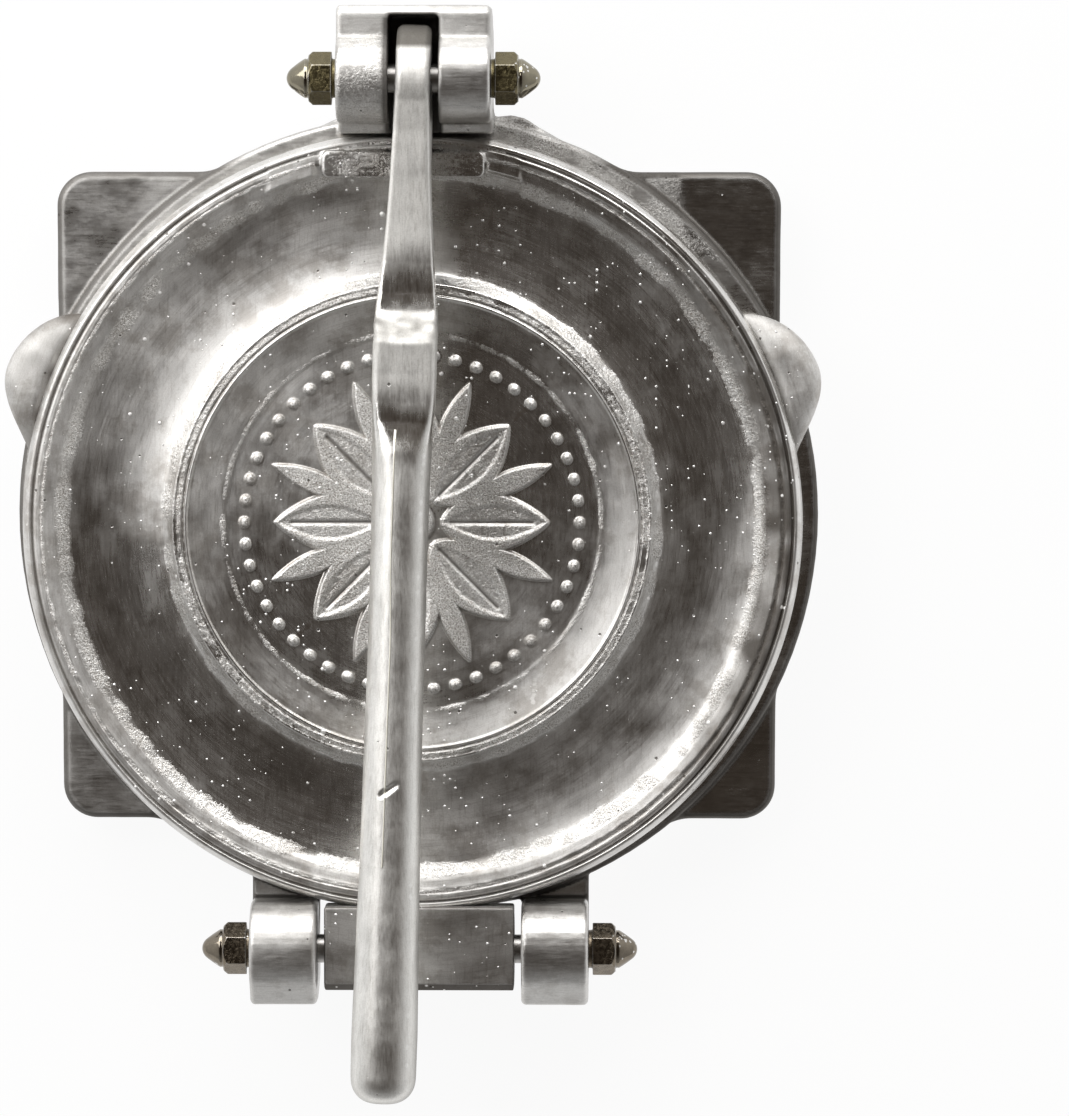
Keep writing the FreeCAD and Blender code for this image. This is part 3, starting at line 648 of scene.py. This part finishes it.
def finger_lug(side):
    """A smooth domed lug that grows out of the rim under its bead."""
    inner = PLATE_RADIUS - LUG_IN
    turn = np.linspace(-1, 1, LUG_STEPS_ROUND + 1)
    angle = math.radians(LUG_ANGLE) + np.where(turn < 0, turn * LUG_REACH_LOW, turn * LUG_REACH_HIGH)
    blunt = fade(1 - turn ** 2) ** 0.75
    tapered = (np.cos(np.pi * turn) / 2 + 0.5) ** 0.8
    swell = np.where(turn > 0, blunt, tapered)
    outer = inner + LUG_START + (LUG_IN + LUG_OUT - LUG_START) * swell
    share = np.concatenate([np.linspace(0, 1, LUG_STEPS_ACROSS), np.linspace(1, 0, LUG_STEPS_ACROSS)[1:]])
    across = len(share)
    upper = np.arange(across) < LUG_STEPS_ACROSS
    out = np.sin(share * np.pi / 2)
    radius = inner + (outer - inner)[:, None] * out[None, :]
    beyond = fade((out - LUG_CREST) / (1 - LUG_CREST))
    dip = fade((LUG_CREST - out) / LUG_CREST)
    rise = np.sqrt(1 - beyond ** 2) - 0.5 * dip ** 2
    drop = -np.sqrt(1 - out ** 2)
    height = np.where(upper, rise * (LUG_HEIGHT - LUG_WAIST), drop * (LUG_WAIST - LUG_FOOT))
    height = LUG_WAIST + height[None, :] * np.minimum(swell * 0.75 + 0.3, 1)[:, None]
    x = radius * np.cos(angle)[:, None] * side
    y = radius * np.sin(angle)[:, None] + PLATE_Y
    points = np.stack([x, y, height + PLATE_Z], axis=2).reshape(-1, 3)
    faces = []
    for step in range(LUG_STEPS_ROUND):
        for cell in range(across):
            after = (cell + 1) % across
            face = (step * across + cell, step * across + after,
                    (step + 1) * across + after, (step + 1) * across + cell)
            faces.append(face if side > 0 else face[::-1])
    faces.append(tuple(range(across)) if side < 0 else tuple(reversed(range(across))))
    last = LUG_STEPS_ROUND * across
    cap = tuple(last + cell for cell in range(across))
    faces.append(cap if side > 0 else cap[::-1])
    item = built("plate_lug_left" if side < 0 else "plate_lug_right", points, faces)
    push(item, lambda p: noise(p, 9, 51) * 0.12 + noise(p, 3, 52) * 0.03)
    # Painted shade at the lug's ends and in the crease where it meets the rim, and more of it on the left
    # lug
    ends = fade((np.abs(turn) - 0.5) / 0.4)
    crease = fade(1 - out / 0.25)
    painted_shade = 0.45 * ends[:, None] + 0.6 * crease[None, :] + (0.3 if side < 0 else 0.0)
    mark(item, "painted_shade", painted_shade.ravel() * (1 + 0.5 * noise(read_points(item.data), 4, 53)))
    return item


def strike_pad():
    """The rough pad on the rim under the lever's nose."""
    left, right = PAD_SIDES
    return cut_copy("top_plate", "plate_pad", [
        ((0, 0, PLATE_Z + RIM_HEIGHT - PAD_DEPTH), (0, 0, -1)),
        ((0, PAD_FRONT, 0), (0, -1, 0)),
        ((right, 0, 0), (1, 0, 0)),
        ((left, 0, 0), (-1, 0, 0)),
    ], voxel=0.35, smoothing=3)


# Shader nodes

def make(tree, kind, sockets=None, **settings):
    """Adds a node. A socket takes a number, a colour or another node's output."""
    item = tree.nodes.new(kind)
    for key, value in settings.items():
        setattr(item, key, value)
    for key, value in (sockets or {}).items():
        socket = item.inputs[key]
        if isinstance(value, bpy.types.NodeSocket):
            tree.links.new(value, socket)
        else:
            socket.default_value = value
    return item


def blank_material(name):
    material = bpy.data.materials.new(name)
    material.use_nodes = True
    tree = material.node_tree
    tree.nodes.clear()
    return material, tree


def attribute(tree, name):
    return make(tree, "ShaderNodeAttribute", attribute_name=name).outputs["Fac"]


def math_node(tree, operation, *values):
    return make(tree, "ShaderNodeMath", dict(enumerate(values)), operation=operation).outputs[0]


def plus(tree, first, second):
    return math_node(tree, "ADD", first, second)


def minus(tree, first, second):
    return math_node(tree, "SUBTRACT", first, second)


def times(tree, first, second):
    return math_node(tree, "MULTIPLY", first, second)


def ramp(tree, factor, stops):
    """A grey or colour ramp; stops are (place, colour) pairs."""
    item = make(tree, "ShaderNodeValToRGB", {"Fac": factor})
    elements = item.color_ramp.elements
    while len(elements) < len(stops):
        elements.new(0.5)
    for element, (place, colour) in zip(elements, stops):
        element.position = place
        if isinstance(colour, (int, float)):
            colour = (colour, colour, colour)
        element.color = (*colour, 1)
    return item.outputs["Color"]


def mix_colour(tree, factor, low, high):
    """Mixes two colours; each is a tuple or another node's output."""
    sockets = {0: factor}
    for index, value in ((6, low), (7, high)):
        sockets[index] = (*value, 1) if isinstance(value, tuple) else value
    return make(tree, "ShaderNodeMix", sockets, data_type="RGBA").outputs[2]


def noise_texture(tree, vector, size, detail, roughness):
    """Noise whose blotches are about that many mm across."""
    return make(tree, "ShaderNodeTexNoise", {
        "Vector": vector, "Scale": 1 / (size * MM), "Detail": detail, "Roughness": roughness}).outputs["Fac"]


def stretched(tree, vector, factors):
    return make(tree, "ShaderNodeVectorMath", {0: vector, 1: factors}, operation="MULTIPLY").outputs[0]


def clamped(tree, value, gain):
    """The value times the gain, held between 0 and 1."""
    return make(tree, "ShaderNodeClamp", {"Value": times(tree, value, gain)}).outputs[0]


def between(tree, factor, low, high):
    return make(tree, "ShaderNodeMapRange", {"Value": factor, "To Min": low, "To Max": high}).outputs[0]


def specks(tree, vector, cell, largest, crowd):
    """How far a place lies inside round specks of many sizes; a lower crowd leaves more of them."""
    spots = make(tree, "ShaderNodeTexVoronoi", {
        "Vector": vector, "Scale": 1 / (cell * MM), "Randomness": 1.0})
    chance = make(tree, "ShaderNodeSeparateColor", {"Color": spots.outputs["Color"]}).outputs[0]
    reach = times(tree, math_node(tree, "POWER", chance, crowd), largest / cell)
    return minus(tree, reach, spots.outputs["Distance"])


def round_noise(tree, place, middle_y, length, width, roughness):
    """Noise in streaks, in mm, that run round the middle of the plate."""
    flat = make(tree, "ShaderNodeVectorMath", {0: place, 1: (0, middle_y * MM, 0)}, operation="SUBTRACT")
    parts = make(tree, "ShaderNodeSeparateXYZ", {"Vector": flat.outputs[0]})
    east = parts.outputs["X"]
    north = parts.outputs["Y"]
    squares = plus(tree, times(tree, east, east), times(tree, north, north))
    radius = math_node(tree, "MAXIMUM", math_node(tree, "SQRT", squares), MM)
    turns = PLATE_RADIUS / length
    vector = make(tree, "ShaderNodeCombineXYZ", {
        "X": math_node(tree, "DIVIDE", radius, width * MM),
        "Y": times(tree, math_node(tree, "DIVIDE", east, radius), turns),
        "Z": times(tree, math_node(tree, "DIVIDE", north, radius), turns)}).outputs[0]
    return make(tree, "ShaderNodeTexNoise", {
        "Vector": vector, "Scale": 1.0, "Detail": 3, "Roughness": roughness}).outputs["Fac"]


# Cast metal

def metal_patterns(tree, finish):
    """The marks, noises, specks, worn edges with a painted glint and painted shade in hollows that a cast
    metal is mixed from, by name.
    """
    place = make(tree, "ShaderNodeTexCoord").outputs["Object"]
    size = finish["haze_size"]
    found = {name: attribute(tree, name) for name in ("hazy", "as_cast", "painted_shade", "bare")}
    found["crease"] = ramp(tree, attribute(tree, "crease"), CREASE_RAMP)
    found["wide"] = noise_texture(tree, place, size, detail=6, roughness=0.62)
    middle = finish["round_middle"]
    if middle is None:
        patches = stretched(tree, place, finish["near_stretch"])
        found["near"] = noise_texture(tree, patches, size / 6, detail=6, roughness=0.7)
        brushed = stretched(tree, place, finish["brush"])
        found["lines"] = noise_texture(tree, brushed, finish["brush_size"], detail=3, roughness=0.6)
    else:
        found["near"] = round_noise(tree, place, middle, length=16, width=size / 5, roughness=0.5)
        found["lines"] = round_noise(
            tree, place, middle, length=12, width=finish["brush_size"], roughness=0.6)
    hair = stretched(tree, place, finish["hair"])
    found["hairs"] = noise_texture(tree, hair, 0.55, detail=3, roughness=0.6)
    found["sand"] = noise_texture(tree, place, 1.0, detail=4, roughness=0.7)
    found["grain"] = noise_texture(tree, place, 0.45, detail=3, roughness=0.7)
    blotches = noise_texture(tree, place, size * 0.55, detail=7, roughness=0.68)
    found["stain"] = ramp(tree, blotches, [(0.48, 0), (0.60, finish["stains"])])
    found["pits"] = clamped(tree, specks(tree, place, cell=2.6, largest=0.55, crowd=14), 18)
    add_flecks(tree, place, found, finish["dust"])
    point = make(tree, "ShaderNodeNewGeometry").outputs["Pointiness"]
    found["worn"] = ramp(tree, point, WEAR_AND_GLINT_RAMP)
    found["sunk"] = ramp(tree, point, HOLLOW_SHADE_RAMP)
    return found


def add_flecks(tree, place, found, dust):
    """White flecks of two sizes; the small ones crowd where the wide noise is high."""
    crowd = times(tree, ramp(tree, found["wide"], CROWD_RAMP), dust)
    small = specks(tree, place, cell=1.5, largest=0.5, crowd=3)
    small = minus(tree, small, between(tree, crowd, 0.33, 0.0))
    large = specks(tree, place, cell=4.1, largest=0.95, crowd=6)
    large = minus(tree, large, 0.24 * (1 - dust))
    inside = math_node(tree, "MAXIMUM", small, large)
    found["flecks"] = clamped(tree, inside, 18)
    found["domes"] = clamped(tree, inside, 5)


def sandy_zone(tree, found):
    """1 where the surface was left as it came out of the sand, with a ragged edge."""
    zone = plus(tree, times(tree, found["as_cast"], 1.3), times(tree, found["sand"], 0.9))
    return clamped(tree, minus(tree, zone, 0.88), 1.5)


def scaled(colour, factor):
    """The colour times the factor, no part of it over 1."""
    return tuple(min(part * factor, 1) for part in colour)


def metal_tone(tree, found, finish):
    """The metal's colour, with painted shade, a painted glint on worn edges and a painted highlight on the
    crease.
    """
    colour = finish["colour"]
    dark = finish["dark"]
    tone = ramp(tree, found["near"], [(0.3, scaled(colour, 0.86)), (0.62, colour)])
    tone = mix_colour(tree, ramp(tree, found["grain"], GRAIN_DARKENS), tone, dark)
    tone = mix_colour(tree, ramp(tree, found["lines"], LINES_DARKEN), tone, dark)
    tone = mix_colour(tree, ramp(tree, found["hairs"], HAIRS_DARKEN), tone, dark)
    # Painted shade in hollows, where the curvature is concave
    tone = mix_colour(tree, times(tree, found["sunk"], 0.6), tone, dark)
    tone = mix_colour(tree, found["stain"], tone, dark)
    salt = ramp(tree, found["grain"], [(0.38, dark), (0.52, colour), (0.64, scaled(colour, 1.25))])
    tone = mix_colour(tree, times(tree, found["zone"], 0.65), tone, salt)
    tone = mix_colour(tree, times(tree, found["pits"], 0.75), tone, scaled(dark, 0.3))
    tone = mix_colour(tree, found["bare"], tone, BARE_TONE)
    # Worn edges, lightened as real wear and as a painted glint
    tone = mix_colour(tree, times(tree, found["worn"], finish["edges"]), tone, WEAR_AND_GLINT_TONE)
    # Painted shade from the mark that each piece keeps: crevices, low sides, the slot, the grip's sides and
    # more
    tone = mix_colour(tree, times(tree, found["painted_shade"], 0.85), tone, scaled(dark, 0.35))
    tone = mix_colour(tree, found["flecks"], tone, FLECK_TONE)
    # The crease's fine line gets a painted highlight
    return mix_colour(tree, found["crease"], tone, CREASE_HIGHLIGHT_TONE)


def metal_roughness(tree, found, finish):
    """Between polished and hazy in clouds, and duller where it is brushed, sandy or under painted shade."""
    mottle = finish["mottle"]
    clouds = plus(tree, found["wide"], times(tree, found["near"], mottle))
    clouds = minus(tree, clouds, 0.5 + mottle / 2)
    clouds = plus(tree, clouds, plus(tree, found["hazy"], finish["haze"]))
    clouds = make(tree, "ShaderNodeClamp", {"Value": clouds}).outputs[0]
    spread = between(tree, clouds, *finish["polish"])
    spread = plus(tree, spread, times(tree, minus(tree, found["lines"], 0.5), 0.15))
    spread = plus(tree, spread, times(tree, minus(tree, found["hairs"], 0.5), 0.08))
    spread = plus(tree, spread, times(tree, found["zone"], 0.16))
    spread = plus(tree, spread, times(tree, found["painted_shade"], 0.35))
    spread = minus(tree, spread, times(tree, found["worn"], 0.06))
    return make(tree, "ShaderNodeClamp", {"Value": spread, "Min": 0.07, "Max": 0.75}).outputs[0]


def metal_height(tree, found, finish):
    """Fine height for the bump, in mm."""
    height = times(tree, found["lines"], finish["brush_depth"])
    height = minus(tree, height, times(tree, found["pits"], 0.10))
    height = plus(tree, height, times(tree, found["domes"], 0.26))
    height = plus(tree, height, times(tree, found["grain"], 0.006))
    height = plus(tree, height, times(tree, found["crease"], 0.2))
    rough = plus(tree, times(tree, found["sand"], 0.18), times(tree, found["grain"], 0.12))
    return plus(tree, height, times(tree, found["zone"], rough))


def cast_metal(name):
    """Cast metal: polished where the marks are low, hazy or sandy where they are high."""
    finish = {**PLAIN_FINISH, **FINISHES[name]}
    material, tree = blank_material(name)
    found = metal_patterns(tree, finish)
    found["zone"] = sandy_zone(tree, found)
    height = metal_height(tree, found, finish)
    bump = make(tree, "ShaderNodeBump", {"Height": height, "Strength": 1.0, "Distance": MM})
    shader = make(tree, "ShaderNodeBsdfPrincipled", {
        "Base Color": metal_tone(tree, found, finish),
        "Metallic": minus(tree, 1.0, times(tree, found["flecks"], 0.5)),
        "Roughness": metal_roughness(tree, found, finish),
        "Normal": bump.outputs["Normal"]})
    make(tree, "ShaderNodeOutputMaterial", {"Surface": shader.outputs["BSDF"]})
    return material


def paint(item, material):
    item.data.materials.clear()
    item.data.materials.append(material)


# The press itself

def build_plate():
    metal = cast_metal("plate_metal")
    disc = turned_plate()
    knuckle_end = [((0, KNUCKLE_CUT, 0), (0, 1, 0))]
    knuckle = cut_copy("top_plate", "plate_knuckle", knuckle_end, voxel=0.5, smoothing=3)
    lugs = [finger_lug(side) for side in (-1, 1)]
    pad = strike_pad()
    mark_plain(knuckle, cast=0.08, haze=0.45, seed=41)
    # Painted shade on the knuckle's steep sides
    tilt = np.abs(read_normals(knuckle.data)[:, 2])
    mark(knuckle, "painted_shade", 0.95 * fade((1 - tilt) * 6) * np.clip(tilt * 4, 0.3, 1))
    mark_plain(pad, cast=0.34, haze=0.1, seed=43)
    for lug in lugs:
        mark_plain(lug, cast=0.0, haze=0.95, seed=45)
    for item in [disc, knuckle, pad] + lugs:
        paint(item, metal)
        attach(item, "plate")
    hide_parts("top_plate")


def shape_base(base):
    """Rounds the hinge ears' inner ends and roughens the casting. Gives back its points."""
    points = read_points(base.data)
    fall = np.clip(points[:, 1] - (HINGE_Y + 9), 0, 9) ** 2 * 0.032
    points[:, 2] -= fall * near_box(points, *HIGH_EARS)
    write_points(base.data, points)
    push(base, lambda p: noise(p, 12, 11) * 0.07 + noise(p, 3, 12) * 0.03)
    push(base, lambda p: 0.7 * near_spot(p, LUMP, LUMP_SIZE) * (1 + noise(p, 1.6, 13)))
    points = np.clip(read_points(base.data), np.array(CAD_BOX[0]) / MM, np.array(CAD_BOX[1]) / MM)
    write_points(base.data, points)
    return points


def mark_base(base, points):
    """Sandy below and in the lump, plain on the corner plates, with painted shade on the low sides (a little
    more to the right), in the lever slot, on the lump and on the right shoulder.
    """
    upward = read_normals(base.data)[:, 2]
    east = points[:, 0]
    below = fade(-upward * 2)
    upright = fade(1 - np.abs(upward) * 1.6)
    tilted = fade((1 - np.abs(upward)) * 20)
    at_ends = fade((np.abs(points[:, 1]) - 104) / 6)
    low = fade((TABLE_TOP - points[:, 2]) / 1.5) * (1 - at_ends)
    low = low + 0.7 * fade((17 - points[:, 2]) / 14) * at_ends
    corner = near_box(points, *CORNERS[0]) + near_box(points, *CORNERS[1])
    shoulder = near_box(points, *RIGHT_SHOULDER) * (1 - corner)
    lump = near_spot(points, LUMP, LUMP_HALO)
    lump += 0.55 * shoulder * (1 + 0.6 * noise(points, 4, 17))
    cast = 0.8 * below + 0.3 * upright + 0.4 * near_box(points, *LEFT_BARREL)
    cast = cast + lump + 0.2 * noise(points, 7, 14)
    haze = 0.5 - 0.002 * east + 0.2 * noise(points, 18, 15) + 0.5 * near_box(points, *LEDGE)
    plain = 0.15 - 0.0024 * east + 0.18 * noise(points, 16, 16)
    plain += 0.22 * fade(-points[:, 1] / 60) * (east < 0)
    rightward = np.clip(1.1 + east / 400, 0.95, 1.1)
    # Painted shade on the low sides below TABLE_TOP, a little more towards the right, in the lever slot and
    # on the lump and the right shoulder
    painted_shade = 0.9 * low * tilted * rightward + 0.9 * near_box(points, *LEVER_SLOT) + 0.5 * lump
    mark(base, "as_cast", cast)
    mark(base, "hazy", haze * (1 - corner) + plain * corner)
    mark(base, "painted_shade", painted_shade)


def build_base():
    base = cast_copy("base_casting", voxel=0.55, smoothing=2, keep=0.45)
    points = shape_base(base)
    mark_base(base, points)
    paint(base, cast_metal("base_metal"))
    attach(base, "base")
    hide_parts("base_casting")


def crease_side(points):
    """How far, in mm, a place is beside the fine crease that wanders along the top of the grip."""
    along = fade((CREASE_FROM - points[:, 1]) / CREASE_LENGTH)
    middle = -3.0 - 4.2 * along + 0.5 * noise(points * (0, 1, 0), 25, 25)
    on_grip = (along > 0.01) & (along < 0.92) & (points[:, 2] > 50)
    return np.where(on_grip, points[:, 0] - middle, CREASE_REACH)


def bend_ridge(item):
    """Bows the cross ridge towards the grip in its middle, as if a file had worked it by hand."""
    points = read_points(item.data)
    near = hump(points[:, 1], RIDGE_Y, 4.5) * (points[:, 2] > 48)
    middle = 1 - fade(np.abs(points[:, 0] + 1.0) / 7.5) ** 2
    points[:, 1] -= RIDGE_BOW * near * middle
    write_points(item.data, points)


def ridge_dents(points):
    """Uneven filing on the cross ridge of the arm."""
    near = hump(points[:, 1], RIDGE_Y, 3.5) * (points[:, 2] > 50)
    return near * (noise(points, 2.6, 26) * 0.26 + noise(points, 1.3, 27) * 0.10)


def nick(item):
    """A short slanting dent on top of the grip."""
    points = read_points(item.data)
    centres = []
    for step in np.linspace(-1, 1, len(NICK_DEPTHS)):
        x = NICK_PLACE[0] + NICK_HALF[0] * step
        y = NICK_PLACE[1] + NICK_HALF[1] * step
        above = points[np.hypot(points[:, 0] - x, points[:, 1] - y) < 0.8]
        centres.append((x, y, above[:, 2].max()))
    pit(item, centres, radius=1.0, depths=NICK_DEPTHS)


def mark_lever(lever):
    """Hazy on the flats and the grip, with painted shade at the heel, on the ridge and along the grip's
    sides.
    """
    points = read_points(lever.data)
    normals = read_normals(lever.data)
    north = points[:, 1]
    web = fade((north - 70) / 18)
    second = fade((north - 36) / 12) * fade((RIDGE_Y - north) / 2)
    grip = fade((GRIP_FROM - north) / 10)
    ridge = hump(north, RIDGE_Y, 3.6)
    # Painted shade on the cross ridge, along the grip's sides (more on the right and front) and on the heel,
    # all marked at the end
    ridge_shade = ridge * (0.55 + 0.35 * noise(points, 2.2, 28))
    sides = grip * fade(1 - np.abs(normals[:, 2]) / 0.6)
    sides *= 0.4 + 0.3 * fade(normals[:, 0] - normals[:, 1])
    haze = 0.05 + 0.95 * np.maximum(web, second) + 0.45 * grip + 0.7 * ridge
    mark(lever, "as_cast", 0.1 * noise(points, 5, 23))
    mark(lever, "hazy", haze + 0.08 * noise(points, 12, 24))
    mark(lever, "painted_shade", fade((north - HEEL_FROM) / 1.5) + ridge_shade + sides)
    mark(lever, "crease", 0.5 + crease_side(points) / (2 * CREASE_REACH))


def build_lever():
    lever = cast_copy("lever", voxel=0.45, smoothing=2)
    relax(lever, lambda p: fade((GRIP_FROM + 4 - p[:, 1]) / 8) * 0.8 + 0.05, rounds=16)
    push(lever, lambda p: noise(p, 14, 21) * 0.05 + noise(p, 4, 22) * 0.015)
    bend_ridge(lever)
    push(lever, ridge_dents)
    nick(lever)
    mark_lever(lever)
    paint(lever, cast_metal("lever_metal"))
    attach(lever, "lever")
    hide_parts("lever")


def build_nuts():
    middles = {"lever": np.array([0, PIVOT_Y, PIVOT_Z]), "hinge": np.array([0, HINGE_Y, HINGE_Z])}
    for place, middle in middles.items():
        metal = cast_metal(place + "_nut_metal")
        for side, turn in (("left", -1), ("right", 1)):
            node = place + "_nut_" + side
            low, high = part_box(node)
            tip = (low[0] if turn < 0 else high[0]) / MM
            nut = cast_copy(node, voxel=0.2, smoothing=2)
            points = read_points(nut.data)
            along = fade(np.abs(points[:, 0] - tip) / DOME_LENGTH)
            swell = DOME_SWELL[place] * np.sin(np.pi * along)
            points += (points - middle) * (0, 1, 1) * swell[:, None]
            write_points(nut.data, points)
            dome = fade((DOME_LENGTH - np.abs(points[:, 0] - tip)) / 0.8)
            mark(nut, "bare", dome * DOME_BARE[place])
            mark(nut, "as_cast", 0.35 * (1 - dome))
            mark(nut, "hazy", 0.8 * (1 - dome))
            paint(nut, metal)
            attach(nut, "base")
            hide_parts(node)


def dress_rods():
    """The rods keep their solids and get a steel painted dark for the shade they lie in."""
    steel = cast_metal("rod_steel")
    for node in ("lever_pivot_rod", "hinge_rod"):
        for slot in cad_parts[node].material_slots:
            slot.material = steel


# Stage

def build_floor():
    side = FLOOR_HALF_METRES
    corners = [(-side, -side, 0), (side, -side, 0), (side, side, 0), (-side, side, 0)]
    mesh = bpy.data.meshes.new("floor")
    mesh.from_pydata(corners, [], [(0, 1, 2, 3)])
    item = add_object("floor", mesh)
    item.location.z = -FLOOR_DROP * MM
    material, tree = blank_material("pale_floor")
    place = make(tree, "ShaderNodeTexCoord").outputs["Object"]
    clouds = noise_texture(tree, place, 60, detail=4, roughness=0.55)
    shade = mix_colour(tree, clouds, *FLOOR_TONES)
    shader = make(tree, "ShaderNodeBsdfPrincipled", {"Base Color": shade, "Roughness": 0.9})
    white = make(tree, "ShaderNodeEmission", {"Color": (1, 1, 1, 1), "Strength": 1.0})
    path = make(tree, "ShaderNodeLightPath")
    seen = math_node(tree, "MAXIMUM", path.outputs["Is Camera Ray"], path.outputs["Is Glossy Ray"])
    seen = math_node(tree, "MAXIMUM", seen, path.outputs["Is Transmission Ray"])
    both = make(tree, "ShaderNodeMixShader", {
        0: times(tree, seen, FLOOR_WHITE), 1: shader.outputs["BSDF"], 2: white.outputs["Emission"]})
    make(tree, "ShaderNodeOutputMaterial", {"Surface": both.outputs["Shader"]})
    paint(item, material)


def build_world():
    """A studio that is bright low down towards the bracket and dark brown overhead."""
    world = bpy.data.worlds.new("studio")
    world.use_nodes = True
    tree = world.node_tree
    tree.nodes.clear()
    way = make(tree, "ShaderNodeTexCoord").outputs["Generated"]
    parts = make(tree, "ShaderNodeSeparateXYZ", {"Vector": way})
    toward = math_node(tree, "MULTIPLY_ADD", parts.outputs["Y"], SKY_NORTH, 1.0)
    toward = plus(tree, toward, times(tree, parts.outputs["X"], SKY_EAST))
    sky = ramp(tree, parts.outputs["Z"], SKY)
    back = make(tree, "ShaderNodeBackground", {"Color": sky, "Strength": toward})
    make(tree, "ShaderNodeOutputWorld", {"Surface": back.outputs["Background"]})
    bpy.context.scene.world = world


def add_light(name, place, size, watts):
    light = bpy.data.lights.new(name, "AREA")
    light.shape = "RECTANGLE"
    light.size = size[0] * MM
    light.size_y = size[1] * MM
    light.energy = watts
    item = bpy.data.objects.new(name, light)
    bpy.context.scene.collection.objects.link(item)
    item.location = Vector(place) * MM
    item.rotation_euler = (Vector(LIGHT_AIM) - Vector(place)).to_track_quat("-Z", "Y").to_euler()


def build_camera():
    data = bpy.data.cameras.new("camera")
    data.sensor_fit = "HORIZONTAL"
    data.sensor_width = SENSOR_WIDTH
    data.lens = FOCAL_PIXELS / IMAGE_WIDTH * data.sensor_width
    data.clip_end = CAMERA_REACH_METRES
    item = bpy.data.objects.new("camera", data)
    bpy.context.scene.collection.objects.link(item)
    item.location = Vector(CAMERA_PLACE) * MM
    item.rotation_euler = [math.radians(turn) for turn in CAMERA_TILT]
    bpy.context.scene.camera = item


build_plate()
build_base()
build_lever()
build_nuts()
dress_rods()
build_floor()
build_world()
for lamp, settings in LIGHTS.items():
    add_light(lamp, **settings)
build_camera()

scene = bpy.context.scene
scene.view_settings.view_transform = "Standard"
